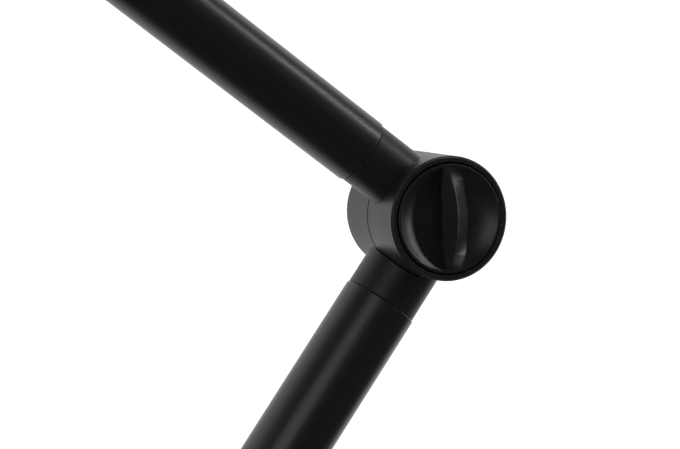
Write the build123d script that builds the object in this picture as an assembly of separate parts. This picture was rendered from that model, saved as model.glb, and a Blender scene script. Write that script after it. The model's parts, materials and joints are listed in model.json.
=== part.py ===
from build123d import *
import os
from math import cos, radians, sin, sqrt

# Desk-mounted tube boom arm. Millimetres and degrees.
# The desk top is z = 0 and the swivel axis is Z. All hinge axes run along Y, and the hand knobs face -Y.
# Angles in the XZ plane are counted from +X towards +Z.

# ---------------------------------------------------------------- driving dimensions
SHOULDER_HEIGHT = 150.0
HINGE_SPACING = 400.0
RISER_ANGLE = -90.0
LOWER_ARM_ANGLE = 55.18
UPPER_ARM_ANGLE = 143.51
HEAD_ANGLE = 180.0
HALF_TURN = 180.0

LOWER_TUBE_R = 16.0
UPPER_TUBE_R = 14.0
TUBE_WALL = 1.6
LOWER_COLLAR_R = 15.5
UPPER_COLLAR_R = 13.4
LOWER_SEAM = 40.5
UPPER_SEAM = 41.5
LOWER_TUBE_Y = 3.8
UPPER_TUBE_Y = -7.7
LOWER_TUBE_OFFSET = 5.8
UPPER_TUBE_OFFSET = 3.0
TUBE_END_GAP = 0.15
SPIGOT_LENGTH = 22.0
SPIGOT_PLAY = 0.03
CABLE_BORE_R = 9.5

DRUM_R = 25.5
DRUM_FRONT = 26.5
DRUM_REAR = 25.0
DRUM_SEAM = 0.15
DRUM_EDGE = 0.35
RIM_EDGE = 0.8
DRUM_CLEARANCE = 0.45
KNOB_POCKET_R = 23.0
POCKET_FLOOR = 13.6
WASHER_SEAT_R = 11.0
WEB_FRONT = 12.0
WEB_REAR = 14.0
DISC_RECESS_R = 14.6
DISC_R = 14.5
DISC_HALF = 2.0
RUNNING_CLEARANCE = 0.05

BUSH_R = 7.0
BOLT_R = 4.0
BOLT_TIP = 20.8
BOLT_HEAD_FLATS = 13.0
BOLT_HEAD_START = 8.7
STOP_PIN_R = 2.0
STOP_PIN_CIRCLE = 17.9
STOP_DEPTH = 9.0
STOP_SIDE_PLAY = 0.35
STOP_END_MARGIN = 1.0

THRUST_R = 10.0
THRUST_SPAN = (13.7, 14.9)
WASHER_BORE_R = 4.5
SPRING_R = 9.2
SPRING_THICKNESS = 0.6
SPRING_OUTER_Y = 12.03
SPRING_INNER_Y = 13.03
CAP_R = 22.6
CAP_LEDGE = 1.6
CAP_THICKNESS = 3.0

KNOB_R = 22.35
KNOB_BACK = 15.0
KNOB_RIM = 26.8
KNOB_RIM_IN = 21.2
DISH_FLOOR = 22.8
DISH_FLOOR_R = 9.2
RIB_CREST = 27.1
RIB_ROOT = 22.0
RIB_SIDE = -1.85
RIB_STATIONS = (0.0, 6.0, 11.0, 14.8, 21.6)
RIB_CREST_EDGES = (3.65, 3.3, 2.6, 1.0, -0.5)
RIB_FOOT_EDGES = (9.1, 8.9, 8.3, 7.9, 4.4)
RIB_FOOT_DEPTHS = (22.4, 22.5, 23.1, 23.8, 26.5)
RIB_TILT = 2.0
INSERT_R = 5.9
INSERT_TIP = 21.6

COVER_CORE_R = 12.8
COVER_PLAY = 0.05
PARTING_GAP = 0.1

SHOULDER_RANGE = (-50.0, 50.0)
ELBOW_RANGE = (-39.0, 88.0)
HEAD_RANGE = (-85.0, 90.0)
SHOULDER_PIN_ANGLE = 200.0
ELBOW_PIN_ANGLE = 330.0
HEAD_PIN_ANGLE = 60.0

HEAD_COLLAR_END = 40.0
STUD_R = 4.76
STUD_SPAN = (26.6, 59.0)
LOCK_RING_SPAN = (40.1, 44.0)
LOCK_RING_R = 11.0
ADAPTER_FLANGE_SPAN = (44.1, 46.1)
ADAPTER_FLANGE_R = 10.5
ADAPTER_R = 7.94
ADAPTER_END = 60.0

JAW_TOP = 13.0
JAW_UNDER = 2.0
FRAME_HALF_WIDTH = 20.0
FRAME_BACK = -42.0
SPINE_FRONT = -30.0
FRAME_BOTTOM = -90.0
LOWER_JAW_TOP = -78.0
LOWER_JAW_TIP = 18.0
UPPER_JAW_TIP = 31.0
JAW_PLATE_R = 29.0
FRAME_CORNER_R = 3.5
SOCKET_R = 21.0
SOCKET_TOP = 40.0
BUSH_FLANGE_TOP = 42.0
SWIVEL_BUSH_IN_R = 10.0
SWIVEL_BUSH_OUT_R = 12.5
SWIVEL_FLANGE_R = 17.0
POST_R = 9.95
POST_BOTTOM = 4.0
POST_TOP = 70.0
RING_SEAT_R = 15.0
RING_SEAT_TOP = 9.1
RING_SPAN = (7.05, 8.35)
RING_GROOVE_R = 8.6
RISER_BASE_R = 24.0
RISER_BASE_BOTTOM = 42.1
RISER_BASE_SHOULDER = 48.0
RISER_BASE_TOP = 52.0
SET_SCREW_R = 2.0
SET_SCREW_HEIGHT = 25.0

PAD_X = (-26.0, 30.0)
PAD_HALF_WIDTH = 19.0
FOOT_TOP = -30.0
FOOT_PAD_THICKNESS = 2.0
FOOT_R = 19.0
FOOT_RIM = 4.0
FOOT_HUB_R = 11.0
FOOT_BOTTOM = -48.0
FOOT_BORE_TOP = -35.0
SCREW_R = 6.0
SCREW_BORE_R = 6.06
SCREW_TOP = -35.1
SCREW_BOTTOM = -166.0
SCREW_BOSS_R = 15.0
SCREW_BOSS_SPAN = (-94.0, -75.0)
HANDLE_SPAN = (-170.0, -152.0)
HANDLE_CORE_R = 19.0
HANDLE_HUB_R = 11.0
HANDLE_HUB_TOP = -144.0
LOBE_COUNT = 6
LOBE_R = 6.0
LOBE_CIRCLE = 17.0
ROLL_PIN_R = 1.5
ROLL_PIN_HEIGHT = -148.0

SCREW_HEAD_R = 2.9
SCREW_SHANK_R = 1.5
SCREW_HEAD_DEPTH = 1.5
SCREW_SUNK = 0.3
SCREW_LENGTH = 4.5
SCREW_FROM_SEAM = 11.0
SCREW_SPREAD = 35.0

FAR = 60.0

# ---------------------------------------------------------------- hinge centres, as (x, z)
def along(start, angle, distance):
    """Point at a distance from a start point, in the XZ plane."""
    return (start[0] + distance * cos(radians(angle)), start[1] + distance * sin(radians(angle)))


SHOULDER = (0.0, SHOULDER_HEIGHT)
ELBOW = along(SHOULDER, LOWER_ARM_ANGLE, HINGE_SPACING)
HEAD = along(ELBOW, UPPER_ARM_ANGLE, HINGE_SPACING)


# ---------------------------------------------------------------- shared shapes
def y_rod(radius, start, end):
    """Cylinder along Y."""
    return Pos(0, (start + end) / 2, 0) * Rot(90, 0, 0) * Cylinder(radius, end - start)


def x_rod(radius, start, end, y=0.0, z=0.0):
    """Cylinder along X."""
    return Pos((start + end) / 2, y, z) * Rot(0, 90, 0) * Cylinder(radius, end - start)


def z_rod(radius, start, end, x=0.0, y=0.0):
    """Cylinder along Z."""
    return Pos(x, y, (start + end) / 2) * Cylinder(radius, end - start)


def turned_y(*corners):
    """Solid turned about Y from (radius, y) corners."""
    return revolve(make_face(Polyline(*corners, close=True)), Axis.Y)


def turned_x(y, z, *corners):
    """Solid turned about a line along X from (x, radius) corners."""
    return Pos(0, y, z) * revolve(make_face(Polyline(*corners, close=True)), Axis.X)


def turned_z(*corners):
    """Solid turned about Z from (radius, z) corners."""
    return revolve(Plane.XZ * make_face(Polyline(*corners, close=True)), Axis.Z)


def placed(shape, joint, angle=0.0):
    """Turn a shape drawn along +X to its angle and move it to a hinge centre."""
    return Pos(joint[0], 0, joint[1]) * Rot(0, -angle, 0) * shape


def hex_prism(flats, start, end):
    """Hexagonal prism along Y, given across its flats."""
    hexagon = RegularPolygon(flats / sqrt(3), 6)
    return extrude(Plane.XZ.offset(-end) * hexagon, end - start)


def save(name, shape):
    """Write one node."""
    export_step(Compound(shape.solids()), f"parts/{name}.step")


# ---------------------------------------------------------------- hinge drums and collars
def stop_slot(first, last):
    """Arc slot for the stop pin, between two angles of the pin's centre."""
    half = STOP_PIN_R + STOP_SIDE_PLAY
    inner = STOP_PIN_CIRCLE - half
    outer = STOP_PIN_CIRCLE + half
    section = make_face(Polyline((inner, -STOP_DEPTH), (outer, -STOP_DEPTH), (outer, 0), (inner, 0), close=True))
    start = first - STOP_END_MARGIN
    end = last + STOP_END_MARGIN
    slot = Rot(0, -end, 0) * revolve(section, Axis.Y, end - start)
    for angle in (start, end):
        slot += Rot(0, -angle, 0) * Pos(STOP_PIN_CIRCLE, 0, 0) * y_rod(half, -STOP_DEPTH, 0)
    return slot


def front_drum(slot_first, slot_last):
    """Front half drum: rim round the knob pocket, web, and the recess for the friction disc."""
    bore = BUSH_R + RUNNING_CLEARANCE
    drum = turned_y(
        (bore, -DISC_HALF - RUNNING_CLEARANCE),
        (DISC_RECESS_R, -DISC_HALF - RUNNING_CLEARANCE),
        (DISC_RECESS_R, -DRUM_SEAM),
        (DRUM_R - DRUM_EDGE, -DRUM_SEAM),
        (DRUM_R, -DRUM_SEAM - DRUM_EDGE),
        (DRUM_R, -DRUM_FRONT + RIM_EDGE),
        (DRUM_R - RIM_EDGE, -DRUM_FRONT),
        (KNOB_POCKET_R + DRUM_EDGE, -DRUM_FRONT),
        (KNOB_POCKET_R, -DRUM_FRONT + DRUM_EDGE),
        (KNOB_POCKET_R, -POCKET_FLOOR),
        (WASHER_SEAT_R, -POCKET_FLOOR),
        (WASHER_SEAT_R, -WEB_FRONT),
        (bore, -WEB_FRONT),
    )
    return drum - stop_slot(slot_first, slot_last)


def rear_drum(pin_angle):
    """Rear half drum: web with the bolt head's hex seat, a stop pin hole, and a ledge for the cap."""
    cap_ledge = DRUM_REAR - CAP_THICKNESS
    drum = turned_y(
        (BUSH_R, DISC_HALF),
        (DISC_RECESS_R, DISC_HALF),
        (DISC_RECESS_R, DRUM_SEAM),
        (DRUM_R - DRUM_EDGE, DRUM_SEAM),
        (DRUM_R, DRUM_SEAM + DRUM_EDGE),
        (DRUM_R, DRUM_REAR - RIM_EDGE),
        (DRUM_R - RIM_EDGE, DRUM_REAR),
        (CAP_R, DRUM_REAR),
        (CAP_R, cap_ledge),
        (CAP_R - CAP_LEDGE, cap_ledge),
        (CAP_R - CAP_LEDGE, WEB_REAR),
        (BUSH_R, WEB_REAR),
    )
    drum -= hex_prism(BOLT_HEAD_FLATS, BOLT_HEAD_START, WEB_REAR)
    pin_hole = Pos(STOP_PIN_CIRCLE, 0, 0) * y_rod(STOP_PIN_R, 0, STOP_DEPTH)
    return drum - Rot(0, -pin_angle, 0) * pin_hole


def collar(radius, seam, tube_in_r, y, offset):
    """Round collar from the hinge to the tube's end, with the spigot that fills the tube and a cable bore."""
    end = seam - TUBE_END_GAP
    tip = seam + SPIGOT_LENGTH
    spigot_r = tube_in_r - SPIGOT_PLAY
    return turned_x(
        y,
        offset,
        (0, 0),
        (0, radius),
        (end - DRUM_EDGE, radius),
        (end, radius - DRUM_EDGE),
        (end, spigot_r),
        (tip - RIM_EDGE, spigot_r),
        (tip, spigot_r - RIM_EDGE),
        (tip, CABLE_BORE_R),
        (DRUM_R + 2 * TUBE_WALL, CABLE_BORE_R),
        (DRUM_R + 2 * TUBE_WALL, 0),
    )


def cut_for_drums(neck, own_side):
    """Trim a collar to its own half drum's wall, and clear of the other half drum. own_side is -1 or 1."""
    spans = {-1: (-FAR, -DRUM_SEAM), 1: (DRUM_SEAM, FAR)}
    own = y_rod(DRUM_R - RIM_EDGE, *spans[own_side])
    other_start, other_end = (-DRUM_SEAM, FAR) if own_side < 0 else (-FAR, DRUM_SEAM)
    other = y_rod(DRUM_R + DRUM_CLEARANCE, other_start, other_end)
    return neck - own - other


def tube_screw(tube_r, seam, y, offset, side, extra=0.0):
    """One countersunk screw through the tube's rear wall into the spigot; extra lengthens it outwards."""
    top = tube_r - SCREW_SUNK
    profile = [
        (0, top - SCREW_LENGTH),
        (SCREW_SHANK_R, top - SCREW_LENGTH),
        (SCREW_SHANK_R, top - SCREW_HEAD_DEPTH),
        (SCREW_HEAD_R, top),
        (SCREW_HEAD_R, top + extra),
        (0, top + extra),
    ]
    if extra == 0:
        profile.pop(4)
    x = seam + SCREW_FROM_SEAM
    return Pos(x, y, offset) * Rot(side * SCREW_SPREAD, 0, 0) * turned_y(*profile)


def tube_screws(tube_r, seam, y, offset, extra=0.0):
    """The two screws at one tube end."""
    return [tube_screw(tube_r, seam, y, offset, side, extra) for side in (-1, 1)]


def front_knuckle(radius, seam, tube_r, y, offset, slot):
    """Front half drum with its collar, drawn along +X."""
    neck = cut_for_drums(collar(radius, seam, tube_r - TUBE_WALL, y, offset), -1)
    knuckle = front_drum(*slot) + neck
    for screw in tube_screws(tube_r, seam, y, offset):
        knuckle -= screw
    return knuckle


def rear_knuckle(radius, seam, tube_r, y, offset, pin_angle):
    """Rear half drum with its collar, drawn along +X."""
    neck = cut_for_drums(collar(radius, seam, tube_r - TUBE_WALL, y, offset), 1)
    knuckle = rear_drum(pin_angle) + neck
    for screw in tube_screws(tube_r, seam, y, offset):
        knuckle -= screw
    return knuckle


def tube(tube_r, start, end, y, offset, screw_ends):
    """Round tube with broken end edges and countersunk screw holes. screw_ends is (seam, placement) pairs."""
    inner = tube_r - TUBE_WALL
    body = turned_x(
        y,
        offset,
        (start, inner),
        (start, tube_r - DRUM_EDGE),
        (start + DRUM_EDGE, tube_r),
        (end - DRUM_EDGE, tube_r),
        (end, tube_r - DRUM_EDGE),
        (end, inner),
    )
    for seam, placement in screw_ends:
        for screw in tube_screws(tube_r, seam, y, offset, TUBE_WALL):
            body -= placement * screw
    return body


def cover_shell():
    """Front shell of the lower elbow collar, in front of the casting's parting plane, drawn along +X."""
    end = LOWER_SEAM - TUBE_END_GAP
    shell = turned_x(
        LOWER_TUBE_Y,
        LOWER_TUBE_OFFSET,
        (0, COVER_CORE_R + COVER_PLAY),
        (0, LOWER_COLLAR_R),
        (end - DRUM_EDGE, LOWER_COLLAR_R),
        (end, LOWER_COLLAR_R - DRUM_EDGE),
        (end, COVER_CORE_R + COVER_PLAY),
    )
    rear = Pos(0, FAR - PARTING_GAP, 0) * Box(4 * FAR, 2 * FAR, 4 * FAR)
    return shell - rear - y_rod(DRUM_R + DRUM_CLEARANCE, -FAR, FAR)


def cover_pocket():
    """Room that the cover shell takes out of the lower elbow knuckle."""
    end = LOWER_SEAM - TUBE_END_GAP
    ring = x_rod(LOWER_COLLAR_R + COVER_PLAY, 0, end, LOWER_TUBE_Y, LOWER_TUBE_OFFSET)
    ring -= x_rod(COVER_CORE_R, 0, end, LOWER_TUBE_Y, LOWER_TUBE_OFFSET)
    rear = Pos(0, FAR, 0) * Box(4 * FAR, 2 * FAR, 4 * FAR)
    return ring - rear


# ---------------------------------------------------------------- pieces of one friction hinge
def knob():
    """Dished hand knob with a grip rib across it, upright on one side, and a blind hole for its insert."""
    drop = KNOB_RIM - DISH_FLOOR
    run = KNOB_RIM_IN - DISH_FLOOR_R
    dish_r = (run * run + drop * drop) / (2 * drop)
    half_run = run / 2
    middle = (DISH_FLOOR_R + half_run, -DISH_FLOOR - dish_r + sqrt(dish_r * dish_r - half_run * half_run))
    outline = Polyline(
        (0, -DISH_FLOOR),
        (0, -KNOB_BACK),
        (KNOB_R - DRUM_EDGE, -KNOB_BACK),
        (KNOB_R, -KNOB_BACK - DRUM_EDGE),
        (KNOB_R, -KNOB_RIM + DRUM_EDGE),
        (KNOB_R - DRUM_EDGE, -KNOB_RIM),
        (KNOB_RIM_IN, -KNOB_RIM),
    )
    dish = ThreePointArc((KNOB_RIM_IN, -KNOB_RIM), middle, (DISH_FLOOR_R, -DISH_FLOOR))
    floor = Line((DISH_FLOOR_R, -DISH_FLOOR), (0, -DISH_FLOOR))
    cup = revolve(make_face(Curve() + [outline, dish, floor]), Axis.Y)
    upper = [rib_section(*values) for values in zip(RIB_STATIONS, RIB_CREST_EDGES, RIB_FOOT_EDGES, RIB_FOOT_DEPTHS)]
    lower = [Pos(0, 0, -2 * station) * section for station, section in zip(RIB_STATIONS[1:], upper[1:])]
    rib = loft(list(reversed(lower)) + upper, ruled=True)
    rib = Rot(0, -RIB_TILT, 0) * rib & y_rod(KNOB_RIM_IN + DRUM_EDGE, -RIB_CREST, -RIB_ROOT)
    return cup + rib - y_rod(INSERT_R, -INSERT_TIP, -KNOB_BACK)


def rib_section(station, crest_edge, foot_edge, foot_depth):
    """Cross-section of the grip rib at a height: one upright side, a flat crest, one sloping side."""
    corners = Polyline(
        (RIB_SIDE, -RIB_ROOT),
        (RIB_SIDE, -RIB_CREST),
        (crest_edge, -RIB_CREST),
        (foot_edge, -foot_depth),
        (foot_edge, -RIB_ROOT),
        close=True,
    )
    return Pos(0, 0, station) * make_face(corners)


def knob_insert():
    """Threaded insert moulded into the knob."""
    bore = BOLT_R + 2 * RUNNING_CLEARANCE
    return y_rod(INSERT_R, -INSERT_TIP, -KNOB_BACK) - y_rod(bore, -FAR, FAR)


def thrust_washer():
    """Flat washer between the knob and the spring washer."""
    return y_rod(THRUST_R, -THRUST_SPAN[1], -THRUST_SPAN[0]) - y_rod(WASHER_BORE_R, -FAR, FAR)


def spring_washer():
    """Conical spring washer that keeps the friction disc pressed."""
    return turned_y(
        (SPRING_R, -SPRING_OUTER_Y),
        (SPRING_R, -SPRING_OUTER_Y - SPRING_THICKNESS),
        (WASHER_BORE_R, -SPRING_INNER_Y - SPRING_THICKNESS),
        (WASHER_BORE_R, -SPRING_INNER_Y),
    )


def pivot_bush():
    """Sleeve that the front half drum turns on."""
    bore = BOLT_R + 2 * RUNNING_CLEARANCE
    return y_rod(BUSH_R, -WEB_FRONT + RUNNING_CLEARANCE, BOLT_HEAD_START) - y_rod(bore, -FAR, FAR)


def pivot_bolt():
    """Hex bolt through both half drums into the knob's insert."""
    head = hex_prism(BOLT_HEAD_FLATS, BOLT_HEAD_START, WEB_REAR)
    return head + y_rod(BOLT_R, -BOLT_TIP, BOLT_HEAD_START)


def friction_disc():
    """Fibre ring pressed between the two half drums."""
    return y_rod(DISC_R, -DISC_HALF, DISC_HALF) - y_rod(BUSH_R, -FAR, FAR)


def stop_pin(angle):
    """Dowel in the rear half drum that runs in the front half's arc slot."""
    pin = y_rod(STOP_PIN_R, -STOP_DEPTH + STOP_SIDE_PLAY, STOP_DEPTH)
    return Rot(0, -angle, 0) * Pos(STOP_PIN_CIRCLE, 0, 0) * pin


def rear_cap():
    """Press-in cap over the bolt head, with a shallow dish."""
    ledge = DRUM_REAR - CAP_THICKNESS
    return turned_y(
        (0, ledge),
        (CAP_R, ledge),
        (CAP_R, DRUM_REAR - DRUM_EDGE),
        (CAP_R - DRUM_EDGE, DRUM_REAR),
        (CAP_R - CAP_LEDGE, DRUM_REAR),
        (CAP_R - 2 * CAP_LEDGE, DRUM_REAR - 2 * DRUM_EDGE),
        (0, DRUM_REAR - 2 * DRUM_EDGE),
    )


def save_hinge_set(prefix, joint, pin_angle, rear_angle):
    """Write the pieces that every friction hinge shares. rear_angle is the rear half drum's, for the bolt head."""
    save(f"{prefix}_knob", placed(knob(), joint))
    save(f"{prefix}_knob_insert", placed(knob_insert(), joint))
    save(f"{prefix}_thrust_washer", placed(thrust_washer(), joint))
    save(f"{prefix}_spring_washer", placed(spring_washer(), joint))
    save(f"{prefix}_pivot_bush", placed(pivot_bush(), joint))
    save(f"{prefix}_pivot_bolt", placed(pivot_bolt(), joint, rear_angle))
    save(f"{prefix}_friction_disc", placed(friction_disc(), joint))
    save(f"{prefix}_stop_pin", placed(stop_pin(pin_angle), joint))
    save(f"{prefix}_rear_cap", placed(rear_cap(), joint))


# ---------------------------------------------------------------- desk clamp
def clamp_frame():
    """C-shaped casting with the swivel socket on top and the screw boss below."""
    outline = Polyline(
        (FRAME_BACK, JAW_TOP),
        (UPPER_JAW_TIP, JAW_TOP),
        (UPPER_JAW_TIP, JAW_UNDER),
        (SPINE_FRONT, JAW_UNDER),
        (SPINE_FRONT, LOWER_JAW_TOP),
        (LOWER_JAW_TIP, LOWER_JAW_TOP),
        (LOWER_JAW_TIP, FRAME_BOTTOM),
        (FRAME_BACK, FRAME_BOTTOM),
        close=True,
    )
    section = fillet(make_face(outline).vertices(), FRAME_CORNER_R)
    frame = extrude(Plane.XZ * section, FRAME_HALF_WIDTH, both=True)
    frame += z_rod(JAW_PLATE_R, JAW_UNDER, JAW_TOP)
    frame += z_rod(SOCKET_R, JAW_TOP, SOCKET_TOP)
    frame += z_rod(SCREW_BOSS_R, *SCREW_BOSS_SPAN)
    frame -= z_rod(SWIVEL_BUSH_OUT_R, 0, FAR)
    frame -= z_rod(RING_SEAT_R, 0, RING_SEAT_TOP)
    frame -= z_rod(SCREW_BORE_R, -2 * FAR, -FAR)
    return frame - Pos(0, 0, SET_SCREW_HEIGHT) * x_rod(SET_SCREW_R, -FAR / 2, 0)


def jaw_pad():
    """Rubber pad glued under the upper jaw."""
    length = PAD_X[1] - PAD_X[0]
    pad = Pos(sum(PAD_X) / 2, 0, JAW_UNDER / 2) * Box(length, 2 * PAD_HALF_WIDTH, JAW_UNDER)
    return fillet(pad.edges().filter_by(Axis.Z), FRAME_CORNER_R)


def swivel_bush():
    """Flanged bush in the socket."""
    return turned_z(
        (SWIVEL_BUSH_IN_R, RING_SEAT_TOP),
        (SWIVEL_BUSH_OUT_R, RING_SEAT_TOP),
        (SWIVEL_BUSH_OUT_R, SOCKET_TOP),
        (SWIVEL_FLANGE_R, SOCKET_TOP),
        (SWIVEL_FLANGE_R, BUSH_FLANGE_TOP),
        (SWIVEL_BUSH_IN_R, BUSH_FLANGE_TOP),
    )


def bush_set_screw():
    """Set screw that holds the bush in the socket."""
    return Pos(0, 0, SET_SCREW_HEIGHT) * x_rod(SET_SCREW_R, -SOCKET_R + RIM_EDGE, -SWIVEL_BUSH_OUT_R)


def swivel_post():
    """Steel post that turns in the bush, grooved for its retaining ring."""
    return turned_z(
        (0, POST_BOTTOM),
        (POST_R - RIM_EDGE, POST_BOTTOM),
        (POST_R, POST_BOTTOM + RIM_EDGE),
        (POST_R, RING_SPAN[0]),
        (RING_GROOVE_R, RING_SPAN[0]),
        (RING_GROOVE_R, RING_SPAN[1]),
        (POST_R, RING_SPAN[1]),
        (POST_R, POST_TOP),
        (0, POST_TOP),
    )


def retaining_ring():
    """Ring in the post's groove, under the socket."""
    return z_rod(SWIVEL_BUSH_OUT_R, *RING_SPAN) - z_rod(RING_GROOVE_R, *RING_SPAN)


def riser_base():
    """Turned foot of the riser, pressed on the post."""
    spigot_r = LOWER_TUBE_R - TUBE_WALL - SPIGOT_PLAY
    return turned_z(
        (POST_R, RISER_BASE_BOTTOM),
        (RISER_BASE_R - RIM_EDGE, RISER_BASE_BOTTOM),
        (RISER_BASE_R, RISER_BASE_BOTTOM + RIM_EDGE),
        (RISER_BASE_R, RISER_BASE_SHOULDER),
        (LOWER_TUBE_R + RIM_EDGE, RISER_BASE_TOP),
        (spigot_r, RISER_BASE_TOP),
        (spigot_r, POST_TOP),
        (POST_R, POST_TOP),
    )


def pressure_foot():
    """Swivelling foot on the clamp screw's tip."""
    top = FOOT_TOP - FOOT_PAD_THICKNESS
    return turned_z(
        (0, top),
        (FOOT_R, top),
        (FOOT_R, top - FOOT_RIM),
        (FOOT_HUB_R, top - 2 * FOOT_RIM),
        (FOOT_HUB_R, FOOT_BOTTOM),
        (SCREW_BORE_R, FOOT_BOTTOM),
        (SCREW_BORE_R, FOOT_BORE_TOP),
        (0, FOOT_BORE_TOP),
    )


def foot_pad():
    """Rubber disc on the pressure foot."""
    return z_rod(FOOT_R - RIM_EDGE, FOOT_TOP - FOOT_PAD_THICKNESS, FOOT_TOP)


def clamp_screw():
    """Clamp screw, cross-drilled for the roll pin."""
    rod = turned_z(
        (0, SCREW_BOTTOM),
        (SCREW_R, SCREW_BOTTOM),
        (SCREW_R, SCREW_TOP - RIM_EDGE),
        (SCREW_R - RIM_EDGE, SCREW_TOP),
        (0, SCREW_TOP),
    )
    return rod - roll_pin()


def roll_pin():
    """Pin through the handle's hub and the screw."""
    return Pos(0, 0, ROLL_PIN_HEIGHT) * y_rod(ROLL_PIN_R, -HANDLE_HUB_R + RIM_EDGE, HANDLE_HUB_R - RIM_EDGE)


def clamp_knob():
    """Lobed handle at the bottom of the clamp screw."""
    handle = z_rod(HANDLE_CORE_R, *HANDLE_SPAN)
    for index in range(LOBE_COUNT):
        angle = radians(index * 2 * HALF_TURN / LOBE_COUNT)
        handle += z_rod(LOBE_R, *HANDLE_SPAN, x=LOBE_CIRCLE * cos(angle), y=LOBE_CIRCLE * sin(angle))
    handle += z_rod(HANDLE_HUB_R, HANDLE_SPAN[1], HANDLE_HUB_TOP)
    handle -= z_rod(SCREW_R, SCREW_BOTTOM, 0)
    return handle - Pos(0, 0, ROLL_PIN_HEIGHT) * y_rod(ROLL_PIN_R, -FAR, FAR)


# ---------------------------------------------------------------- head
def head_knuckle():
    """Rear half drum with a short collar that takes the mounting stud, drawn along +X."""
    neck = turned_x(
        0,
        0,
        (0, 0),
        (0, UPPER_COLLAR_R),
        (HEAD_COLLAR_END - RIM_EDGE, UPPER_COLLAR_R),
        (HEAD_COLLAR_END, UPPER_COLLAR_R - RIM_EDGE),
        (HEAD_COLLAR_END, 0),
    )
    knuckle = rear_drum(HEAD_PIN_ANGLE - HEAD_ANGLE) + cut_for_drums(neck, 1)
    return knuckle - x_rod(STUD_R, STUD_SPAN[0], HEAD_COLLAR_END)


def mic_stud():
    """3/8 inch mounting stud."""
    return x_rod(STUD_R, *STUD_SPAN)


def stud_lock_ring():
    """Lock ring on the stud, with finger notches."""
    ring = x_rod(LOCK_RING_R, *LOCK_RING_SPAN) - x_rod(STUD_R, *LOCK_RING_SPAN)
    notch = x_rod(LOBE_R / 4, *LOCK_RING_SPAN, y=LOCK_RING_R)
    for index in range(2 * LOBE_COUNT):
        ring -= Rot(index * HALF_TURN / LOBE_COUNT, 0, 0) * notch
    return ring


def thread_adapter():
    """Adapter from the stud to 5/8 inch."""
    sleeve = x_rod(ADAPTER_R, ADAPTER_FLANGE_SPAN[0], ADAPTER_END)
    sleeve += x_rod(ADAPTER_FLANGE_R, *ADAPTER_FLANGE_SPAN)
    return sleeve - x_rod(STUD_R, ADAPTER_FLANGE_SPAN[0], ADAPTER_END)


# ---------------------------------------------------------------- assembly
os.makedirs("parts", exist_ok=True)

save("clamp_frame", clamp_frame())
save("jaw_pad", jaw_pad())
save("swivel_bush", swivel_bush())
save("bush_set_screw", bush_set_screw())
save("pressure_foot", pressure_foot())
save("foot_pad", foot_pad())
save("clamp_screw", clamp_screw())
save("clamp_knob", clamp_knob())
save("roll_pin", roll_pin())
save("swivel_post", swivel_post())
save("retaining_ring", retaining_ring())
save("riser_base", riser_base())

# Riser: the front half drum of the shoulder points down.
shoulder_slot = (
    SHOULDER_PIN_ANGLE - SHOULDER_RANGE[1] - RISER_ANGLE,
    SHOULDER_PIN_ANGLE - SHOULDER_RANGE[0] - RISER_ANGLE,
)
riser_knuckle = front_knuckle(LOWER_COLLAR_R, LOWER_SEAM, LOWER_TUBE_R, 0, 0, shoulder_slot)
riser_end = SHOULDER_HEIGHT - RISER_BASE_TOP - TUBE_END_GAP
riser_tube = tube(LOWER_TUBE_R, LOWER_SEAM, riser_end, 0, 0, [(LOWER_SEAM, Pos(0, 0, 0))])
riser_screws = Compound([s.solid() for s in tube_screws(LOWER_TUBE_R, LOWER_SEAM, 0, 0)])
save("riser_knuckle", placed(riser_knuckle, SHOULDER, RISER_ANGLE))
save("riser_tube", placed(riser_tube, SHOULDER, RISER_ANGLE))
save("riser_screws", placed(riser_screws, SHOULDER, RISER_ANGLE))
save_hinge_set("shoulder", SHOULDER, SHOULDER_PIN_ANGLE, LOWER_ARM_ANGLE)

# Lower arm: a rear half drum at each end. The tube's frame is the elbow's, pointing back to the shoulder.
lower_back = LOWER_ARM_ANGLE - HALF_TURN
turned_end = Pos(HINGE_SPACING, 0, 0) * Rot(0, HALF_TURN, 0)
lower_elbow_knuckle = rear_knuckle(
    LOWER_COLLAR_R, LOWER_SEAM, LOWER_TUBE_R, LOWER_TUBE_Y, LOWER_TUBE_OFFSET, ELBOW_PIN_ANGLE - lower_back
)
lower_elbow_knuckle -= cover_pocket()
lower_shoulder_knuckle = rear_knuckle(
    LOWER_COLLAR_R,
    LOWER_SEAM,
    LOWER_TUBE_R,
    LOWER_TUBE_Y,
    -LOWER_TUBE_OFFSET,
    SHOULDER_PIN_ANGLE - LOWER_ARM_ANGLE,
)
far_screw_turn = Pos(HINGE_SPACING, 0, 2 * LOWER_TUBE_OFFSET) * Rot(0, HALF_TURN, 0)
lower_ends = [(LOWER_SEAM, Pos(0, 0, 0)), (LOWER_SEAM, far_screw_turn)]
lower_tube = tube(
    LOWER_TUBE_R, LOWER_SEAM, HINGE_SPACING - LOWER_SEAM, LOWER_TUBE_Y, LOWER_TUBE_OFFSET, lower_ends
)
near = tube_screws(LOWER_TUBE_R, LOWER_SEAM, LOWER_TUBE_Y, LOWER_TUBE_OFFSET)
lower_screws = Compound([s.solid() for s in near] + [(far_screw_turn * s).solid() for s in near])
save("lower_elbow_knuckle", placed(lower_elbow_knuckle, ELBOW, lower_back))
save("elbow_collar_cover", placed(cover_shell(), ELBOW, lower_back))
save("lower_tube", placed(lower_tube, ELBOW, lower_back))
save("lower_tube_screws", placed(lower_screws, ELBOW, lower_back))
save("lower_shoulder_knuckle", placed(lower_shoulder_knuckle, SHOULDER, LOWER_ARM_ANGLE))
save_hinge_set("elbow", ELBOW, ELBOW_PIN_ANGLE, lower_back)

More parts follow.
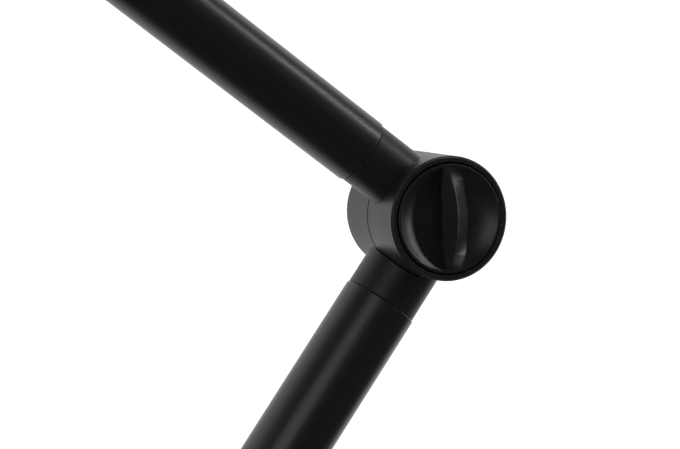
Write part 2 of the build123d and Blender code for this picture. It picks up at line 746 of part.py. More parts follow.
# Upper arm: a front half drum at each end. The tube's frame is the elbow's.
upper_back = UPPER_ARM_ANGLE - HALF_TURN
elbow_slot = (
    ELBOW_PIN_ANGLE + ELBOW_RANGE[0] - UPPER_ARM_ANGLE,
    ELBOW_PIN_ANGLE + ELBOW_RANGE[1] - UPPER_ARM_ANGLE,
)
head_slot = (
    HEAD_PIN_ANGLE - HEAD_RANGE[1] - upper_back,
    HEAD_PIN_ANGLE - HEAD_RANGE[0] - upper_back,
)
upper_elbow_knuckle = front_knuckle(
    UPPER_COLLAR_R, UPPER_SEAM, UPPER_TUBE_R, UPPER_TUBE_Y, -UPPER_TUBE_OFFSET, elbow_slot
)
upper_head_knuckle = front_knuckle(
    UPPER_COLLAR_R, UPPER_SEAM, UPPER_TUBE_R, UPPER_TUBE_Y, UPPER_TUBE_OFFSET, head_slot
)
far_screw_turn = Pos(HINGE_SPACING, 0, -2 * UPPER_TUBE_OFFSET) * Rot(0, HALF_TURN, 0)
upper_ends = [(UPPER_SEAM, Pos(0, 0, 0)), (UPPER_SEAM, far_screw_turn)]
upper_tube = tube(
    UPPER_TUBE_R, UPPER_SEAM, HINGE_SPACING - UPPER_SEAM, UPPER_TUBE_Y, -UPPER_TUBE_OFFSET, upper_ends
)
near = tube_screws(UPPER_TUBE_R, UPPER_SEAM, UPPER_TUBE_Y, -UPPER_TUBE_OFFSET)
upper_screws = Compound([s.solid() for s in near] + [(far_screw_turn * s).solid() for s in near])
save("upper_elbow_knuckle", placed(upper_elbow_knuckle, ELBOW, UPPER_ARM_ANGLE))
save("upper_tube", placed(upper_tube, ELBOW, UPPER_ARM_ANGLE))
save("upper_tube_screws", placed(upper_screws, ELBOW, UPPER_ARM_ANGLE))
save("upper_head_knuckle", placed(upper_head_knuckle, HEAD, upper_back))
save_hinge_set("head", HEAD, HEAD_PIN_ANGLE, HEAD_ANGLE)

save("head_knuckle", placed(head_knuckle(), HEAD, HEAD_ANGLE))
save("mic_stud", placed(mic_stud(), HEAD, HEAD_ANGLE))
save("stud_lock_ring", placed(stud_lock_ring(), HEAD, HEAD_ANGLE))
save("thread_adapter", placed(thread_adapter(), HEAD, HEAD_ANGLE))
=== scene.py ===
import bmesh
import bpy
import json
import math
from mathutils import Matrix, Vector


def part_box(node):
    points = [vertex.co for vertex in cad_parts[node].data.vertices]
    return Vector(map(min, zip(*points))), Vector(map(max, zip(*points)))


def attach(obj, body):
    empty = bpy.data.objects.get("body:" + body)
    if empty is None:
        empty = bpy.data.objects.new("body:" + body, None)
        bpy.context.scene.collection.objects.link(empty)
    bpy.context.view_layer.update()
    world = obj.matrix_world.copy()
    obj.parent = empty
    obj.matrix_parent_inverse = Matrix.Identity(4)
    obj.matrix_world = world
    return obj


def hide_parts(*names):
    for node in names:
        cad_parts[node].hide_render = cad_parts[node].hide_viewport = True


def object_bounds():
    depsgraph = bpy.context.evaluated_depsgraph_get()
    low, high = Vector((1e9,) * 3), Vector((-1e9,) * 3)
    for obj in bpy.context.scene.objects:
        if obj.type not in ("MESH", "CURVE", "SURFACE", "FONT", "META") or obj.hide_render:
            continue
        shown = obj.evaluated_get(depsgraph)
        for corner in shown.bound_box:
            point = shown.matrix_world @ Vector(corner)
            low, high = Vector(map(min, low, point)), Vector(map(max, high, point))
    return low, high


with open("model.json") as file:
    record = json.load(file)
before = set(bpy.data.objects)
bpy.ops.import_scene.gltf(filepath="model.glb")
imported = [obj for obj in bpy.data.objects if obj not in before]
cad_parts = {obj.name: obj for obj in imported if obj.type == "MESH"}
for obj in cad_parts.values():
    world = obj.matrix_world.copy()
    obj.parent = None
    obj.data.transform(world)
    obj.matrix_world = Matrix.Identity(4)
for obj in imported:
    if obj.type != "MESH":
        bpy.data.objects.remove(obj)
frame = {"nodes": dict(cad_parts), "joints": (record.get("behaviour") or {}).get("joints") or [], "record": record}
cad_low, cad_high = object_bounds()
MM = 0.001

# ---------------------------------------------------------------- the frame's joints and angles
HINGES = {j["name"]: Vector(j["pos_m"]) for j in frame["joints"] if j["type"] == "hinge"}
SHOULDER = HINGES["shoulder_tilt"]
ELBOW = HINGES["elbow_bend"]
HEAD = HINGES["head_tilt"]


def angle_between(start, end):
    """Angle of a line in the XZ plane, from +X towards +Z."""
    return math.atan2(end.z - start.z, end.x - start.x)


LOWER_ANGLE = angle_between(SHOULDER, ELBOW)
UPPER_ANGLE = angle_between(ELBOW, HEAD)


def at_joint(joint, angle):
    """Matrix that turns a shape drawn along +X in millimetres to an angle at a hinge."""
    return Matrix.Translation(joint) @ Matrix.Rotation(-angle, 4, "Y") @ Matrix.Scale(MM, 4)


# ---------------------------------------------------------------- materials
def new_node(tree, kind, **values):
    """A shader node with attributes (plain names) or input values (i_ names with _ for spaces)."""
    node = tree.nodes.new(kind)
    for key, value in values.items():
        if key.startswith("i_"):
            node.inputs[key[2:].replace("_", " ")].default_value = value
        else:
            setattr(node, key, value)
    return node


def noise(tree, vector, scale, detail=3.0, roughness=0.55):
    """A noise texture on the given vector."""
    node = new_node(tree, "ShaderNodeTexNoise", i_Scale=scale, i_Detail=detail, i_Roughness=roughness)
    tree.links.new(vector, node.inputs["Vector"])
    return node.outputs["Fac"]


def remap(tree, value, low, high, start=0.3, end=0.7):
    """Map a noise value from start..end to low..high."""
    node = new_node(tree, "ShaderNodeMapRange", i_From_Min=start, i_From_Max=end)
    node.inputs["To Min"].default_value = low
    node.inputs["To Max"].default_value = high
    tree.links.new(value, node.inputs["Value"])
    return node.outputs["Result"]


def stretched(tree, angle, stretch):
    """Object coordinates turned so that the texture's X runs along a tube, and stretched along it."""
    coords = new_node(tree, "ShaderNodeTexCoord").outputs["Object"]
    turn = new_node(tree, "ShaderNodeMapping", vector_type="POINT")
    turn.inputs["Rotation"].default_value = (0.0, angle, 0.0)
    tree.links.new(coords, turn.inputs["Vector"])
    scale = new_node(tree, "ShaderNodeMapping", vector_type="POINT")
    scale.inputs["Scale"].default_value = (1.0 / stretch, 1.0, 1.0)
    tree.links.new(turn.outputs["Vector"], scale.inputs["Vector"])
    return scale.outputs["Vector"]


def surface(
    name,
    dark,
    light,
    rough,
    metallic=0.0,
    grain=(2600.0, 0.00003),
    patches=55.0,
    angle=0.0,
    stretch=1.0,
    edge_highlight=0.0,
    specular=0.5,
):
    """A procedural finish: fine grain as bump, broad patches in colour and roughness, and a painted highlight
    along edges.
    """
    material = bpy.data.materials.new(name)
    material.use_nodes = True
    tree = material.node_tree
    shader = tree.nodes["Principled BSDF"]
    shader.inputs["Metallic"].default_value = metallic
    shader.inputs["Specular IOR Level"].default_value = specular
    vector = stretched(tree, angle, stretch)
    broad = noise(tree, vector, patches, 4.0)
    fine = noise(tree, vector, grain[0], 2.0)

    colour = new_node(tree, "ShaderNodeMix", data_type="RGBA")
    colour.inputs["A"].default_value = (*dark, 1.0)
    colour.inputs["B"].default_value = (*light, 1.0)
    mixed = new_node(tree, "ShaderNodeMath", operation="MULTIPLY_ADD")
    mixed.inputs[1].default_value = 0.35
    tree.links.new(fine, mixed.inputs[0])
    tree.links.new(remap(tree, broad, 0.0, 0.65), mixed.inputs[2])
    tree.links.new(mixed.outputs[0], colour.inputs["Factor"])
    base = colour.outputs["Result"]

    roughness = new_node(tree, "ShaderNodeMath", operation="ADD")
    tree.links.new(remap(tree, broad, rough[0], rough[1]), roughness.inputs[0])
    tree.links.new(remap(tree, fine, -0.03, 0.03), roughness.inputs[1])
    rough_out = roughness.outputs[0]

    # Painted highlight: the base colour is lightened along edges, and the roughness is lowered there.
    if edge_highlight > 0.0:
        highlit_base, highlight_mask = painted_edge_highlight(tree, vector, base, edge_highlight)
        base = highlit_base
        smoother = new_node(tree, "ShaderNodeMath", operation="MULTIPLY_ADD")
        smoother.inputs[1].default_value = -0.12
        tree.links.new(highlight_mask, smoother.inputs[0])
        tree.links.new(rough_out, smoother.inputs[2])
        rough_out = smoother.outputs[0]

    bump = new_node(tree, "ShaderNodeBump", i_Strength=1.0, i_Distance=grain[1])
    tree.links.new(fine, bump.inputs["Height"])
    tree.links.new(base, shader.inputs["Base Color"])
    tree.links.new(rough_out, shader.inputs["Roughness"])
    tree.links.new(bump.outputs["Normal"], shader.inputs["Normal"])
    return material


def painted_edge_highlight(tree, vector, base, strength):
    """Painted edge highlight: lighten the base colour a little along edges, broken up by noise."""
    rounded = new_node(tree, "ShaderNodeBevel", samples=4, i_Radius=0.0005)
    flat = new_node(tree, "ShaderNodeNewGeometry")
    dot = new_node(tree, "ShaderNodeVectorMath", operation="DOT_PRODUCT")
    tree.links.new(rounded.outputs["Normal"], dot.inputs[0])
    tree.links.new(flat.outputs["Normal"], dot.inputs[1])
    edge = remap(tree, dot.outputs["Value"], 1.0, 0.0, 0.90, 0.995)
    broken = remap(tree, noise(tree, vector, 700.0, 3.0), 0.15, 1.0, 0.4, 0.62)
    highlight_mask = new_node(tree, "ShaderNodeMath", operation="MULTIPLY", use_clamp=True)
    tree.links.new(edge, highlight_mask.inputs[0])
    tree.links.new(broken, highlight_mask.inputs[1])
    scaled = new_node(tree, "ShaderNodeMath", operation="MULTIPLY")
    scaled.inputs[1].default_value = strength
    tree.links.new(highlight_mask.outputs[0], scaled.inputs[0])
    # The painted highlight colour, mixed in along edges.
    mix = new_node(tree, "ShaderNodeMix", data_type="RGBA")
    mix.inputs["B"].default_value = (0.16, 0.16, 0.165, 1.0)
    tree.links.new(base, mix.inputs["A"])
    tree.links.new(scaled.outputs[0], mix.inputs["Factor"])
    return mix.outputs["Result"], highlight_mask.outputs[0]


def tube_black(name, angle):
    """Satin black anodising, with faint drawn lines along the tube."""
    return surface(
        name,
        (0.0035, 0.0035, 0.004),
        (0.008, 0.008, 0.0085),
        (0.28, 0.38),
        grain=(3200.0, 0.000012),
        patches=130.0,
        angle=angle,
        stretch=22.0,
        edge_highlight=0.4,
        specular=0.55,
    )


def knuckle_black(name, angle):
    """Fine matte black coat on cast aluminium."""
    return surface(
        name,
        (0.008, 0.008, 0.0085),
        (0.018, 0.018, 0.019),
        (0.36, 0.44),
        grain=(2300.0, 0.00004),
        patches=60.0,
        angle=angle,
        edge_highlight=0.6,
        specular=0.35,
    )


FINISHES = {
    "cast_black": surface(
        "cast_black_coat",
        (0.013, 0.013, 0.014),
        (0.030, 0.030, 0.031),
        (0.45, 0.62),
        grain=(1100.0, 0.00009),
        patches=40.0,
        edge_highlight=0.7,
    ),
    "tube_black": tube_black("tube_black_upright", math.pi / 2),
    "knuckle_black": knuckle_black("knuckle_black_coat", 0.0),
    "base_black": surface(
        "base_black_turned",
        (0.010, 0.010, 0.011),
        (0.020, 0.020, 0.021),
        (0.28, 0.38),
        grain=(1500.0, 0.00002),
        patches=50.0,
        angle=0.0,
        stretch=0.05,
        edge_highlight=0.5,
    ),
    "knob_black": surface(
        "knob_black_plastic",
        (0.0045, 0.0045, 0.005),
        (0.010, 0.010, 0.0105),
        (0.32, 0.42),
        grain=(4200.0, 0.000018),
        patches=90.0,
    ),
    "cap_black": surface(
        "cap_black_plastic",
        (0.014, 0.014, 0.015),
        (0.026, 0.026, 0.027),
        (0.50, 0.60),
        grain=(2600.0, 0.00005),
        patches=70.0,
    ),
    "pad_rubber": surface(
        "pad_black_rubber",
        (0.012, 0.012, 0.012),
        (0.028, 0.028, 0.027),
        (0.70, 0.85),
        grain=(900.0, 0.00008),
        patches=60.0,
        specular=0.3,
    ),
    "steel": surface(
        "zinc_plated_steel",
        (0.46, 0.46, 0.47),
        (0.62, 0.62, 0.63),
        (0.22, 0.36),
        metallic=1.0,
        grain=(1800.0, 0.000015),
        patches=120.0,
    ),
    "black_steel": surface(
        "black_oxide_steel",
        (0.020, 0.020, 0.022),
        (0.045, 0.045, 0.048),
        (0.30, 0.42),
        metallic=0.6,
        grain=(3000.0, 0.00001),
        patches=300.0,
    ),
    "brass": surface(
        "turned_brass",
        (0.60, 0.42, 0.17),
        (0.78, 0.58, 0.27),
        (0.20, 0.34),
        metallic=1.0,
        grain=(2200.0, 0.00001),
        patches=200.0,
    ),
    "bush_plastic": surface(
        "bearing_plastic",
        (0.55, 0.54, 0.50),
        (0.68, 0.67, 0.62),
        (0.40, 0.52),
        grain=(2500.0, 0.00002),
        patches=90.0,
    ),
    "friction_fibre": surface(
        "friction_fibre",
        (0.10, 0.07, 0.045),
        (0.24, 0.18, 0.12),
        (0.75, 0.9),
        grain=(1500.0, 0.0001),
        patches=400.0,
    ),
}
ALONG_ARM = {
    "lower_tube": tube_black("tube_black_lower", LOWER_ANGLE),
    "upper_tube": tube_black("tube_black_upper", UPPER_ANGLE),
}
SLOT_OF = {part["node"]: part["material_slot"] for part in frame["record"]["subparts"]}


def paint(obj, material):
    """Give an object one material."""
    obj.data.materials.clear()
    obj.data.materials.append(material)


for node_name, node in frame["nodes"].items():
    paint(node, ALONG_ARM.get(node_name, FINISHES[SLOT_OF[node_name]]))


# ---------------------------------------------------------------- pieces
def piece(name, body, slot, grid_rings, matrix, cap_start=False, cap_end=False, replaces=()):
    """A mesh skinned over closed rings of points, put in place and tied to a body."""
    count = len(grid_rings[0])
    vertices = [matrix @ Vector(p) for ring in grid_rings for p in ring]
    faces = []
    for row in range(len(grid_rings) - 1):
        for i in range(count):
            j = (i + 1) % count
            a = row * count
            b = a + count
            faces.append((a + i, a + j, b + j, b + i))
    if cap_start:
        faces.append(tuple(reversed(range(count))))
    if cap_end:
        last = (len(grid_rings) - 1) * count
        faces.append(tuple(last + i for i in range(count)))
    return finished_piece(name, body, slot, vertices, faces, replaces)


def finished_piece(name, body, slot, vertices, faces, replaces=()):
    """Make the object, smooth it, paint it, and tie it to its body."""
    mesh = bpy.data.meshes.new(name)
    mesh.from_pydata([tuple(v) for v in vertices], [], faces)
    mesh.validate()
    cleaned = bmesh.new()
    cleaned.from_mesh(mesh)
    bmesh.ops.remove_doubles(cleaned, verts=cleaned.verts, dist=1e-6)
    bmesh.ops.recalc_face_normals(cleaned, faces=cleaned.faces)
    cleaned.to_mesh(mesh)
    cleaned.free()
    obj = bpy.data.objects.new(name, mesh)
    bpy.context.scene.collection.objects.link(obj)
    mesh.shade_smooth()
    mesh.set_sharp_from_angle(angle=math.radians(35))
    paint(obj, FINISHES[slot])
    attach(obj, body)
    if replaces:
        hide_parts(*replaces)
    return obj


def ring_y(radius, y, count):
    """A ring of points round the Y axis."""
    steps = [2 * math.pi * i / count for i in range(count)]
    return [(radius * math.cos(t), y, radius * math.sin(t)) for t in steps]


# Hand knobs: a height field over the disc, so that the rib, the dish and the rim run into each other.
KNOB_R = 22.35
KNOB_BACK = 15.0
KNOB_RIM = 26.8
KNOB_RIM_IN = 21.2
DISH_FLOOR = 22.4
DISH_FLOOR_R = 9.2
RIB_CREST = 27.1
RIB_STATIONS = (0.0, 5.0, 9.0, 13.0, 15.3, 21.6)
RIB_LEFT = (-3.5, -3.55, -3.6, -3.5, -3.4, -2.05)
RIB_RIGHT = (3.65, 3.3, 2.9, 1.9, 0.95, -0.65)
RIB_FOOT = (10.0, 9.7, 8.9, 8.2, 7.9, 3.75)
RIB_WALL_RUN = 0.45
RIB_TILT = math.radians(2.0)
INSERT_R = 5.9


def between(stations, values, at):
    """Straight-line value at a station."""
    for k in range(len(stations) - 1):
        if at <= stations[k + 1]:
            share = (at - stations[k]) / (stations[k + 1] - stations[k])
            return values[k] + share * (values[k + 1] - values[k])
    return values[-1]


def soft_max(a, b, width):
    """The larger of two heights, with a fillet where they meet."""
    return 0.5 * (a + b + math.sqrt((a - b) ** 2 + width * width))


def soft_min(a, b, width):
    """The smaller of two heights, with a rounded edge where they meet."""
    return 0.5 * (a + b - math.sqrt((a - b) ** 2 + width * width))


def smooth_step(low, high, value):
    """0 below low, 1 above high."""
    t = min(1.0, max(0.0, (value - low) / (high - low)))
    return t * t * (3 - 2 * t)


def dish_height(radius):
    """Height of the bowl: a flat floor, then a round wall up to the rim."""
    drop = KNOB_RIM - DISH_FLOOR
    run = KNOB_RIM_IN - DISH_FLOOR_R
    round_r = (run * run + drop * drop) / (2 * drop)
    out = max(0.0, radius - DISH_FLOOR_R)
    wall = DISH_FLOOR + round_r - math.sqrt(max(0.0, round_r * round_r - min(out, run) ** 2))
    bowl = soft_max(DISH_FLOOR, wall - 0.02, 0.12)
    return soft_min(bowl + max(0.0, radius - KNOB_RIM_IN) * 2.0, KNOB_RIM, 0.18)


def knob_height(x, z):
    """Height of the knob's front at a point on the disc."""
    radius = math.hypot(x, z)
    along = abs(z * math.cos(RIB_TILT) - x * math.sin(RIB_TILT))
    across = x * math.cos(RIB_TILT) + z * math.sin(RIB_TILT)
    left = between(RIB_STATIONS, RIB_LEFT, along)
    right = between(RIB_STATIONS, RIB_RIGHT, along)
    foot = between(RIB_STATIONS, RIB_FOOT, along)
    foot_height = dish_height(math.hypot(along, foot))
    crest = RIB_CREST - (RIB_CREST - KNOB_RIM) * smooth_step(19.5, KNOB_RIM_IN, radius)
    flank = crest - (crest - foot_height) * (across - right) / (foot - right)
    wall = crest + (crest - DISH_FLOOR) * (across - left) / RIB_WALL_RUN
    rib = soft_min(soft_min(crest, flank, 0.22), wall, 0.3)
    height = soft_max(dish_height(radius), rib, 0.3)
    return min(height, RIB_CREST)


def knob(prefix, joint):
    """The dished hand knob of one hinge."""
    count = 360
    radii = [0.27 * k for k in range(1, 70)]
    radii += [18.9 + 0.2 * k for k in range(1, 12)]
    radii += [21.25 + 0.12 * k for k in range(0, 7)]
    steps = [2 * math.pi * i / count for i in range(count)]
    rings = []
    for radius in radii:
        ring = []
        for t in steps:
            x = radius * math.cos(t)
            z = radius * math.sin(t)
            ring.append((x, -knob_height(x, z), z))
        rings.append(ring)
    edge = 0.35
    for k in range(1, 6):
        turn = math.pi / 2 * k / 5
        radius = KNOB_R - edge + edge * math.sin(turn)
        rings.append(ring_y(radius, -(KNOB_RIM - edge + edge * math.cos(turn)), count))
    rings.append(ring_y(KNOB_R, -(KNOB_BACK + edge), count))
    rings.append(ring_y(KNOB_R - edge, -KNOB_BACK, count))
    rings.append(ring_y(INSERT_R, -KNOB_BACK, count))
    rings.append(ring_y(INSERT_R, -(KNOB_BACK + 4.0), count))
    return piece(
        f"{prefix}_dished_knob",
        f"{prefix}_knob",
        "knob_black",
        rings,
        at_joint(joint, 0.0),
        cap_start=True,
        cap_end=True,
        replaces=[f"{prefix}_knob"],
    )


for prefix, joint in (("shoulder", SHOULDER), ("elbow", ELBOW), ("head", HEAD)):
    knob(prefix, joint)


# Threads: ridges on a helix, closed by a plain tip at each end.
def threaded_rod(name, body, slot, radius, pitch, depth, start, end, matrix, replaces, extra=None):
    """A right-hand threaded rod along local +X, in millimetres.

    extra is more outline, as (x, radius) points, behind the start of the thread.
    """
    count = 40
    profile = (0.0, 0.35 * depth, depth, 0.35 * depth)
    steps = len(profile)
    rows = int((end - start) / pitch * steps) + steps + 2
    vertices = []
    faces = []
    for row in range(rows):
        for i in range(count):
            turn = 2 * math.pi * i / count
            x = start + pitch * ((row - steps) / steps + i / count)
            height = radius - profile[row % steps]
            x = min(end, max(start, x))
            vertices.append(matrix @ Vector((x, height * math.cos(turn), height * math.sin(turn))))
    for row in range(rows - 1):
        for i in range(count):
            a = row * count + i
            b = a + count
            if i < count - 1:
                faces.append((a, a + 1, b + 1, b))
            elif row + steps + 1 < rows:
                c = (row + steps) * count
                faces.append((a, c, c + count, b))
    core = radius - depth
    lip = radius - 0.4 * depth
    tip = [(start, lip), (start, core), (end, core), (end, lip), (end, core - 0.3)]
    outline = list(extra or []) + tip
    base = len(vertices)
    for x, r in outline:
        for i in range(count):
            turn = 2 * math.pi * i / count
            vertices.append(matrix @ Vector((x, r * math.cos(turn), r * math.sin(turn))))
    for row in range(len(outline) - 1):
        for i in range(count):
            j = (i + 1) % count
            a = base + row * count
            faces.append((a + i, a + j, a + count + j, a + count + i))
    faces.append(tuple(base + i for i in reversed(range(count))))
    last = base + (len(outline) - 1) * count
    faces.append(tuple(last + i for i in range(count)))
    return finished_piece(name, body, slot, vertices, faces, replaces)


upward = Matrix.Rotation(-math.pi / 2, 4, "Y") @ Matrix.Scale(MM, 4)
screw_low, screw_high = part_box("clamp_screw")
threaded_rod(
    "clamp_screw_threaded",
    "clamp_screw",
    "steel",
    6.0,
    1.75,
    0.95,
    screw_low.z / MM + 24.0,
    screw_high.z / MM - 0.6,
    upward,
    ["clamp_screw"],
    [(screw_low.z / MM, 5.95), (screw_low.z / MM + 23.0, 5.95)],
)

adapter_low, adapter_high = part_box("thread_adapter")
adapter_start = (HEAD.x - adapter_high.x) / MM
adapter_end = (HEAD.x - adapter_low.x) / MM
threaded_rod(
    "thread_adapter_threaded",
    "head",
    "brass",
    7.94,
    0.94,
    0.5,
    adapter_start + 2.3,
    adapter_end - 0.3,
    at_joint(HEAD, math.pi),
    ["thread_adapter"],
    [
        (adapter_start, 9.0),
        (adapter_start, 10.2),
        (adapter_start + 0.3, 10.5),
        (adapter_start + 1.7, 10.5),
        (adapter_start + 2.0, 10.2),
        (adapter_start + 2.0, 7.6),
    ],
)


# Countersunk hex-socket screws.
SCREW_HEAD_R = 2.85
SOCKET_R = 1.15
SOCKET_DEPTH = 1.1
SCREW_FROM_SEAM = 11.0
SCREW_SPREAD = math.radians(35)


def screw_mesh(matrix, top, vertices, faces):
    """Add one screw head with its hex socket; local +Y points out of the tube."""
    count = 36
    outlines = []
    for radius, y in ((SCREW_HEAD_R - 0.5, top - 0.5), (SCREW_HEAD_R, top - 0.1), (SCREW_HEAD_R - 0.1, top)):
        outlines.append([(radius, y)] * count)
    flat = []
    for i in range(count):
        across = (2 * math.pi * i / count + math.pi / 6) % (math.pi / 3) - math.pi / 6
        flat.append(SOCKET_R / math.cos(across))
    outlines.append([(r + 0.08, top) for r in flat])
    outlines.append([(r, top - 0.08) for r in flat])
    outlines.append([(r, top - SOCKET_DEPTH) for r in flat])
    base = len(vertices)
    for outline in outlines:
        for i, (radius, y) in enumerate(outline):
            turn = 2 * math.pi * i / count
            vertices.append(matrix @ Vector((radius * math.cos(turn), y, radius * math.sin(turn))))
    for row in range(len(outlines) - 1):
        for i in range(count):
            j = (i + 1) % count
            a = base + row * count
            faces.append((a + i, a + j, a + count + j, a + count + i))
    last = base + (len(outlines) - 1) * count
    faces.append(tuple(last + i for i in range(count)))


def tube_screws(node, body, ends):
    """All countersunk screws of one tube. ends holds (hinge, angle, seam, tube radius, y, offset)."""
    vertices = []
    faces = []
    for joint, angle, seam, tube_r, y, offset in ends:
        for side in (-1, 1):
            place = at_joint(joint, angle) @ Matrix.Translation((seam + SCREW_FROM_SEAM, y, offset))
            place = place @ Matrix.Rotation(side * SCREW_SPREAD, 4, "X")
            screw_mesh(place, tube_r - 0.3, vertices, faces)
    finished_piece(f"{node}_socket_head", body, "black_steel", vertices, faces, [node])


LOWER_SEAM = 40.5
LOWER_TUBE_R = 16.0
UPPER_SEAM = 41.5
UPPER_TUBE_R = 14.0
tube_screws("riser_screws", "riser", [(SHOULDER, -math.pi / 2, LOWER_SEAM, LOWER_TUBE_R, 0.0, 0.0)])
tube_screws(
    "lower_tube_screws",
    "lower_arm",
    [
        (SHOULDER, LOWER_ANGLE, LOWER_SEAM, LOWER_TUBE_R, 3.8, -5.8),
        (ELBOW, LOWER_ANGLE - math.pi, LOWER_SEAM, LOWER_TUBE_R, 3.8, 5.8),
    ],
)
tube_screws(
    "upper_tube_screws",
    "upper_arm",
    [
        (ELBOW, UPPER_ANGLE, UPPER_SEAM, UPPER_TUBE_R, -7.7, -3.0),
        (HEAD, UPPER_ANGLE - math.pi, UPPER_SEAM, UPPER_TUBE_R, -7.7, 3.0),
    ],
)


# Clamp handle: round lobes run into a round core, with rounded edges.
LOBE_AT = 17.0
LOBE_R = 6.0
HANDLE_CORE_R = 19.0
HANDLE_HEIGHT = 18.0
HANDLE_EDGE = 2.4


def lobed_ring(inset, z):
    """One level of the handle's outline."""
    count = 180
    ring = []
    for i in range(count):
        turn = 2 * math.pi * i / count
        near = (turn + math.pi / 6) % (math.pi / 3) - math.pi / 6
        side = LOBE_AT * math.sin(near)
        lobe = 0.0
        if abs(side) < LOBE_R:
            lobe = LOBE_AT * math.cos(near) + math.sqrt(LOBE_R * LOBE_R - side * side)
        radius = soft_max(HANDLE_CORE_R, lobe, 0.9) - 0.2 - inset
        ring.append((radius * math.cos(turn), radius * math.sin(turn), z))
    return ring


def ring_z(radius, z, count=180):
    """A ring of points round the Z axis."""
    steps = [2 * math.pi * i / count for i in range(count)]
    return [(radius * math.cos(t), radius * math.sin(t), z) for t in steps]


handle_low, handle_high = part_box("clamp_knob")
bottom = handle_low.z / MM
top = bottom + HANDLE_HEIGHT
levels = [ring_z(11.2, bottom + 0.9), ring_z(12.0, bottom + 0.9), ring_z(12.4, bottom)]
for k in range(0, 6):
    turn = math.pi / 2 * k / 5
    level = bottom + HANDLE_EDGE * (1 - math.cos(turn))
    levels.append(lobed_ring(HANDLE_EDGE * (1 - math.sin(turn)), level))
for k in range(0, 6):
    turn = math.pi / 2 * k / 5
    level = top - HANDLE_EDGE * (1 - math.sin(turn))
    levels.append(lobed_ring(HANDLE_EDGE * (1 - math.cos(turn)), level))
levels.append(ring_z(13.0, top))
levels.append(ring_z(11.4, top + 0.5))
levels.append(ring_z(11.0, top + 1.6))
levels.append(ring_z(11.0, top + 7.2))
levels.append(ring_z(10.2, top + 8.0))
levels.append(ring_z(6.1, top + 8.0))
piece(
    "clamp_lobed_handle",
    "clamp_screw",
    "knob_black",
    levels,
    Matrix.Scale(MM, 4),
    cap_start=True,
    replaces=["clamp_knob"],
)

# Foot pad: rubber disc with concentric ribs.
PAD_RIBS = 8
PAD_RIB_PITCH = 2.0
PAD_GROOVE = 0.5
pad_low, pad_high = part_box("foot_pad")
pad_top = pad_high.z / MM
pad_r = (pad_high.x - pad_low.x) / 2 / MM
levels = [ring_z(0.8, pad_top - PAD_GROOVE)]
for k in range(PAD_RIBS):
    start = 1.2 + PAD_RIB_PITCH * k
    levels.append(ring_z(start, pad_top - PAD_GROOVE))
    levels.append(ring_z(start + 0.25, pad_top))
    levels.append(ring_z(start + 1.25, pad_top))
    levels.append(ring_z(start + 1.5, pad_top - PAD_GROOVE))
levels.append(ring_z(pad_r - 0.6, pad_top - PAD_GROOVE))
levels.append(ring_z(pad_r - 0.4, pad_top))
levels.append(ring_z(pad_r - 0.3, pad_top))
levels.append(ring_z(pad_r, pad_top - 0.4))
levels.append(ring_z(pad_r, pad_low.z / MM))
piece(
    "foot_pad_ribbed",
    "foot",
    "pad_rubber",
    levels,
    Matrix.Scale(MM, 4),
    cap_start=True,
    cap_end=True,
    replaces=["foot_pad"],
)


# ---------------------------------------------------------------- stage, light, camera
floor_mesh = bpy.data.meshes.new("studio_floor")
FLOOR_REACH = 40.0
SCREW_DROP = 0.03  # the clamp screw and its handle go no further than this below their rest place
floor_z = cad_low.z - SCREW_DROP
sides = ((-1, -1), (1, -1), (1, 1), (-1, 1))
corners = [(x * FLOOR_REACH, y * FLOOR_REACH, floor_z) for x, y in sides]
floor_mesh.from_pydata(corners, [], [(0, 1, 2, 3)])
floor = bpy.data.objects.new("studio_floor", floor_mesh)
bpy.context.scene.collection.objects.link(floor)
floor_material = bpy.data.materials.new("pale_floor")
floor_material.use_nodes = True
floor_shader = floor_material.node_tree.nodes["Principled BSDF"]
floor_shader.inputs["Base Color"].default_value = (0.82, 0.82, 0.82, 1.0)
floor_shader.inputs["Roughness"].default_value = 0.9
floor_shader.inputs["Specular IOR Level"].default_value = 0.0
floor_shader.inputs["Emission Color"].default_value = (1.0, 1.0, 1.0, 1.0)
floor_shader.inputs["Emission Strength"].default_value = 0.85
floor.visible_diffuse = False
floor.visible_glossy = False
paint(floor, floor_material)


def soft_box(name, place, target, width, height, power):
    """A rectangular studio light aimed at a point."""
    data = bpy.data.lights.new(name, "AREA")
    data.shape = "RECTANGLE"
    data.size = width
    data.size_y = height
    data.energy = power
    light = bpy.data.objects.new(name, data)
    bpy.context.scene.collection.objects.link(light)
    light.location = place
    light.rotation_mode = "QUATERNION"
    light.rotation_quaternion = (Vector(target) - Vector(place)).to_track_quat("-Z", "Y")
    light.visible_camera = False
    return light


soft_box("wash_left", ELBOW + Vector((-1.9, 0.2, 0.3)), ELBOW, 1.2, 1.6, 4.5)
soft_box("front_left", ELBOW + Vector((-1.5, -1.9, 0.5)), ELBOW, 1.6, 1.6, 10.0)
soft_box("strip_right", ELBOW + Vector((1.5, -0.5, 0.6)), ELBOW, 0.16, 1.6, 9.0)
soft_box("top", ELBOW + Vector((0.2, 0.4, 1.6)), ELBOW, 1.4, 0.8, 9.0)

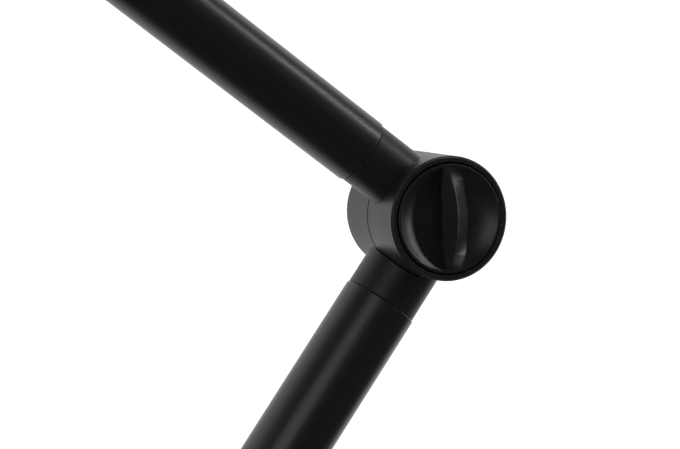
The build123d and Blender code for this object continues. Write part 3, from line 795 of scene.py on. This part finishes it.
world = bpy.data.worlds.new("studio")
bpy.context.scene.world = world
world.use_nodes = True
tree = world.node_tree
background = tree.nodes["Background"]
coords = new_node(tree, "ShaderNodeTexCoord")
split = new_node(tree, "ShaderNodeSeparateXYZ")
tree.links.new(coords.outputs["Generated"], split.inputs[0])
glow = remap(tree, split.outputs["Y"], 0.10, 1.0, 0.11, 0.5)
ramp = new_node(tree, "ShaderNodeMix", data_type="RGBA")
ramp.inputs["A"].default_value = (0.0, 0.0, 0.0, 1.0)
ramp.inputs["B"].default_value = (1.0, 1.0, 1.0, 1.0)
tree.links.new(glow, ramp.inputs["Factor"])
path = new_node(tree, "ShaderNodeLightPath")
seen = new_node(tree, "ShaderNodeMix", data_type="RGBA")
seen.inputs["B"].default_value = (1.1, 1.1, 1.1, 1.0)
tree.links.new(path.outputs["Is Camera Ray"], seen.inputs["Factor"])
tree.links.new(ramp.outputs["Result"], seen.inputs["A"])
tree.links.new(seen.outputs["Result"], background.inputs["Color"])
background.inputs["Strength"].default_value = 1.0

# The camera looks at the elbow from the front left, a little above it.
AZIMUTH = math.radians(-20.4)
ELEVATION = math.radians(5.32)
DISTANCE = 0.8333
LEFT_OF_ELBOW = 0.0352
BELOW_ELBOW = 0.0046
LENS = 105.94
back = Vector(
    (
        math.sin(AZIMUTH) * math.cos(ELEVATION),
        -math.cos(AZIMUTH) * math.cos(ELEVATION),
        math.sin(ELEVATION),
    )
)
right = Vector((math.cos(AZIMUTH), math.sin(AZIMUTH), 0.0))
up = back.cross(right)
camera_data = bpy.data.cameras.new("camera")
camera_data.sensor_fit = "HORIZONTAL"
camera_data.sensor_width = 36.0
camera_data.lens = LENS
camera = bpy.data.objects.new("camera", camera_data)
bpy.context.scene.collection.objects.link(camera)
camera.location = ELBOW + back * DISTANCE - right * LEFT_OF_ELBOW - up * BELOW_ELBOW
camera.rotation_mode = "QUATERNION"
camera.rotation_quaternion = Matrix((right, up, back)).transposed().to_quaternion()
bpy.context.scene.camera = camera
bpy.context.scene.view_settings.view_transform = "Standard"
